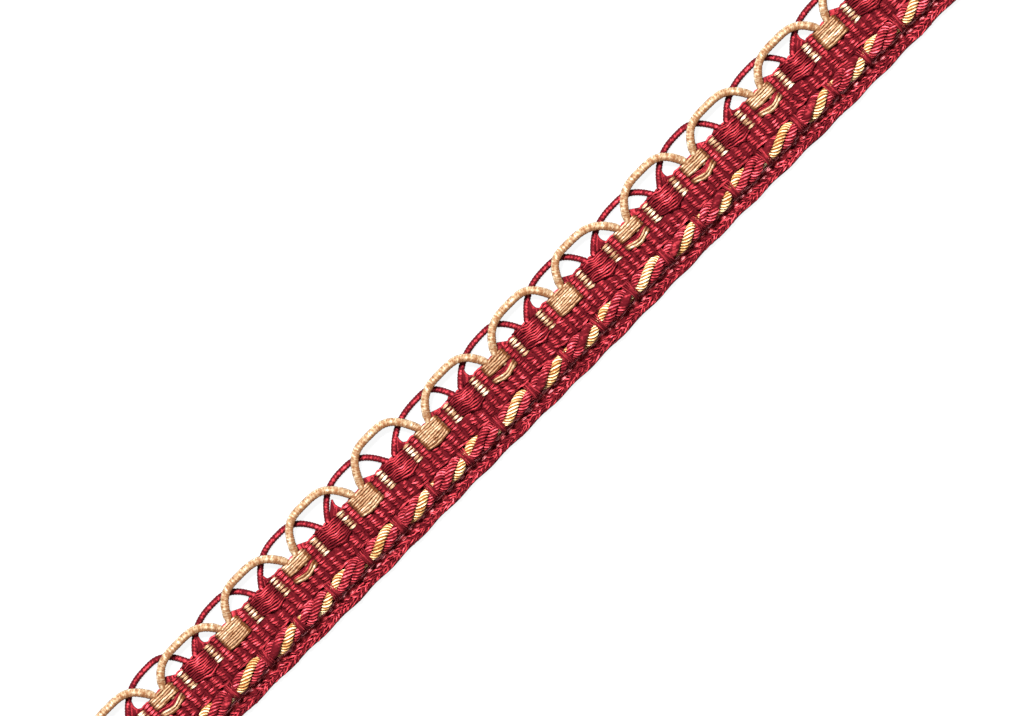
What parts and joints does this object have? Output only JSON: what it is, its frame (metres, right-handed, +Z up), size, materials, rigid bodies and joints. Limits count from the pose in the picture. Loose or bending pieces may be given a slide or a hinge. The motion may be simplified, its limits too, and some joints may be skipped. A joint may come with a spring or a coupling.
{
  "type": "looped gimp braid trim with twisted cord",
  "caption": "Straight cut length of ribbed furnishing braid with overlapping wrapped gimp loops along one edge and a twisted cord bound along the other.",
  "frame": {"origin": "centre of the part's footprint, on the surface that its flat underside lies on", "axes": "+X along the braid, +Y across it towards the looped edge, +Z up through its thickness, away from the surface"},
  "size_m": [0.2388, 0.023, 0.005],
  "materials": {
    "crimson_yarn": "lustrous crimson rayon and cotton yarn, twisted and closely woven",
    "gold_yarn": "lustrous pale gold rayon yarn, wrapped and laid in floats"
  },
  "bodies": {
    "root": {"woven_band": "crimson_yarn", "gold_loop_gimp": "gold_yarn", "crimson_loop_gimp": "crimson_yarn", "twisted_cord": "crimson_yarn"}
  },
  "joints": []
}
